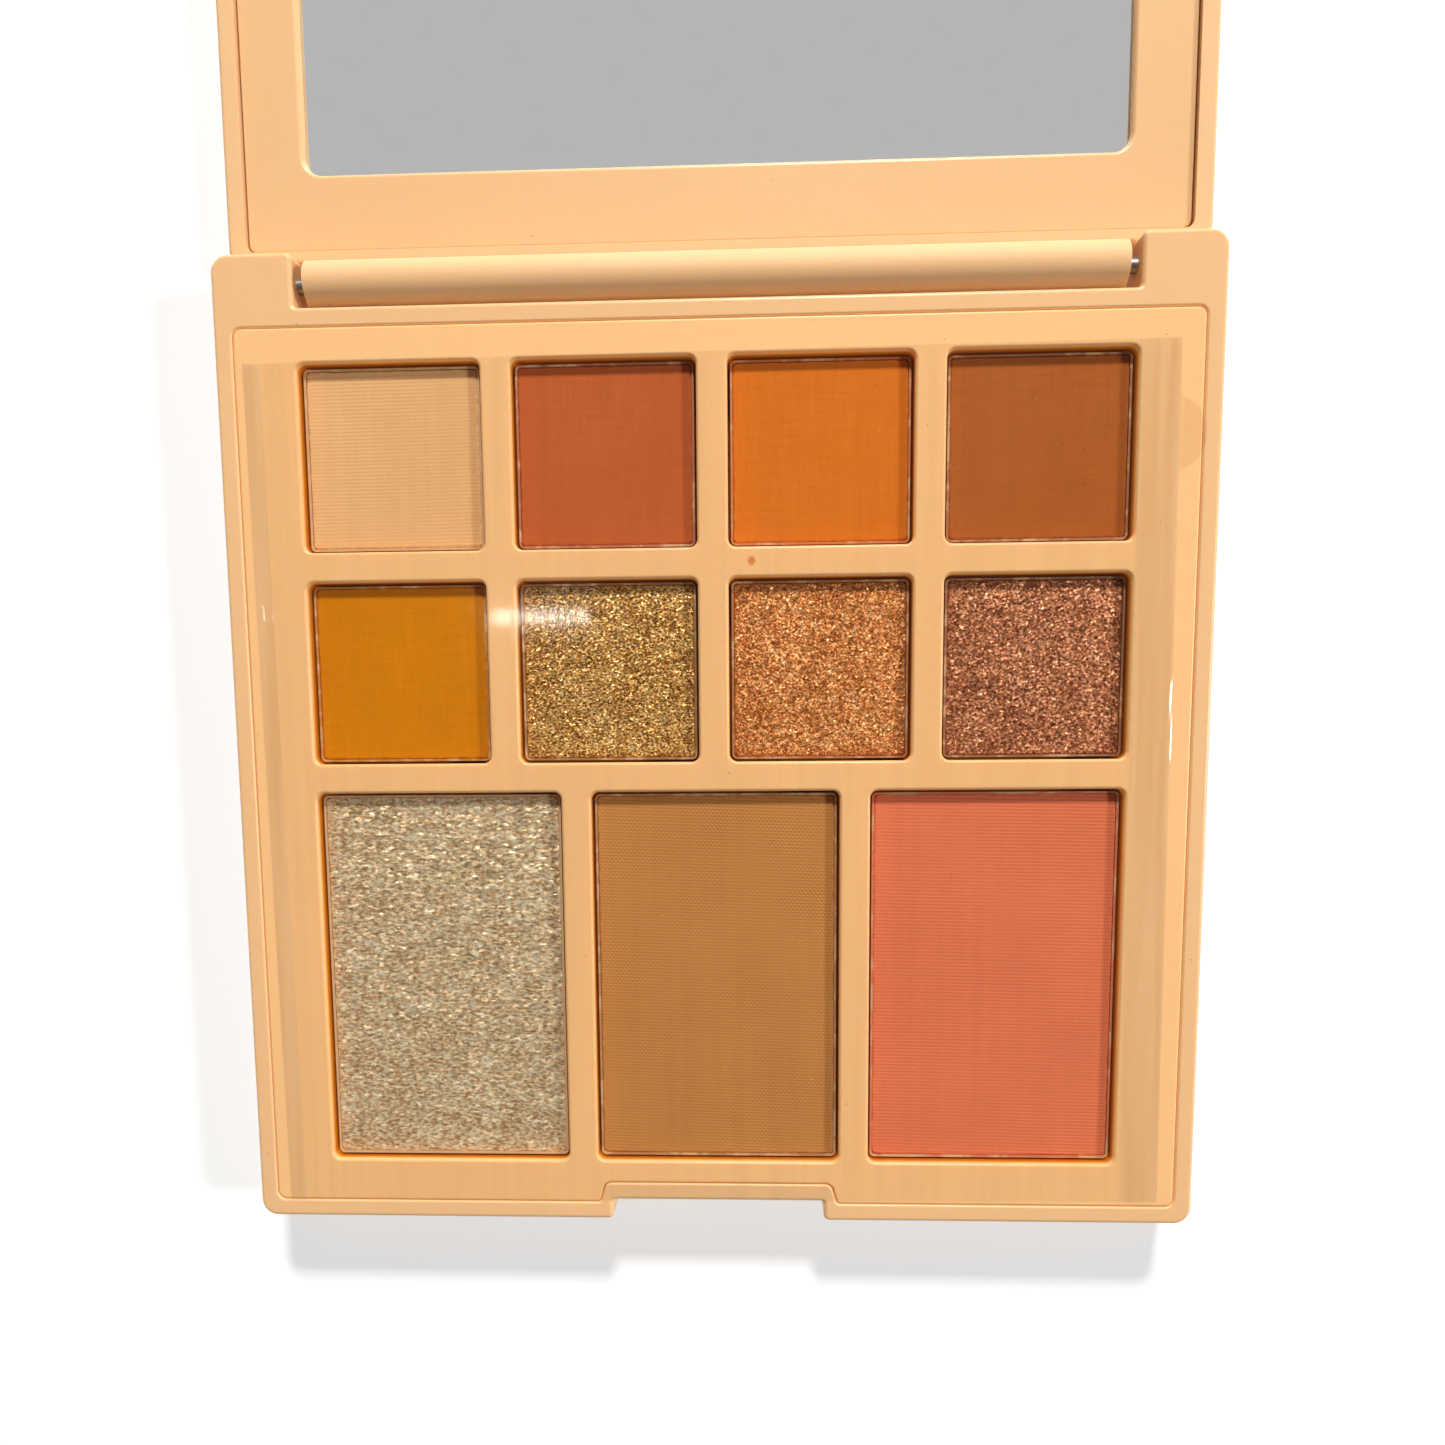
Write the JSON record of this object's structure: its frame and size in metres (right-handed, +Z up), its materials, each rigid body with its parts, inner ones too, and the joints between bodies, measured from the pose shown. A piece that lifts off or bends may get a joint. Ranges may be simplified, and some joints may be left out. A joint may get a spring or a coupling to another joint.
{
  "type": "eyeshadow palette",
  "caption": "Square clamshell make-up palette with recessed powder pans, a loose clear cover sheet and a mirrored lid that folds flat.",
  "frame": {"origin": "on the table under the hinge axis, midway between the two hinge ears, which is the centre of the open palette's footprint", "axes": "+Z up, +Y from the powder base towards the open lid, +X to the user's right"},
  "size_m": [0.1112, 0.2162, 0.0091],
  "materials": {
    "casing_plastic": "satin gloss",
    "tinplate": "thin satin tinplate",
    "powder_cream": "pressed matte powder",
    "powder_terracotta": "pressed matte powder",
    "powder_orange": "pressed matte powder",
    "powder_brown": "pressed matte powder",
    "powder_mustard": "pressed matte powder",
    "powder_gold": "pressed shimmer powder",
    "powder_copper": "pressed shimmer powder",
    "powder_rose": "pressed shimmer powder",
    "powder_champagne": "pressed shimmer powder",
    "powder_bronzer": "pressed matte powder",
    "powder_blush": "pressed matte powder",
    "glue": "matte",
    "clear_film": "clear gloss",
    "mirror_glass": "mirror",
    "foam_tape": "matte foam",
    "pin_steel": "plain drawn steel"
  },
  "bodies": {
    "base": {"base_shell": "casing_plastic", "pan_tray": "casing_plastic", "pan_adhesive": "glue", "hinge_pin_left": "pin_steel", "hinge_pin_right": "pin_steel", "pan_cream": "tinplate", "pan_terracotta": "tinplate", "pan_orange": "tinplate", "pan_brown": "tinplate", "pan_mustard": "tinplate", "pan_gold": "tinplate", "pan_copper": "tinplate", "pan_rose": "tinplate", "pan_champagne": "tinplate", "pan_bronzer": "tinplate", "pan_blush": "tinplate", "powder_cream": "powder_cream", "powder_terracotta": "powder_terracotta", "powder_orange": "powder_orange", "powder_brown": "powder_brown", "powder_mustard": "powder_mustard", "powder_gold": "powder_gold", "powder_copper": "powder_copper", "powder_rose": "powder_rose", "powder_champagne": "powder_champagne", "powder_bronzer": "powder_bronzer", "powder_blush": "powder_blush"},
    "lid": {"lid_shell": "casing_plastic", "lid_frame": "casing_plastic", "mirror": "mirror_glass", "mirror_tape": "foam_tape"},
    "cover": {"clear_cover": "clear_film"}
  },
  "joints": [
    {"name": "lid_hinge", "type": "hinge", "parent": "base", "child": "lid", "pos_m": [0, 0, 0.0065], "axis": [1, 0, 0], "range_deg": [0, 180]},
    {"name": "cover_lift", "type": "slide", "parent": "base", "child": "cover", "axis": [0, 0, 1], "range_m": [0, 0.06]}
  ]
}
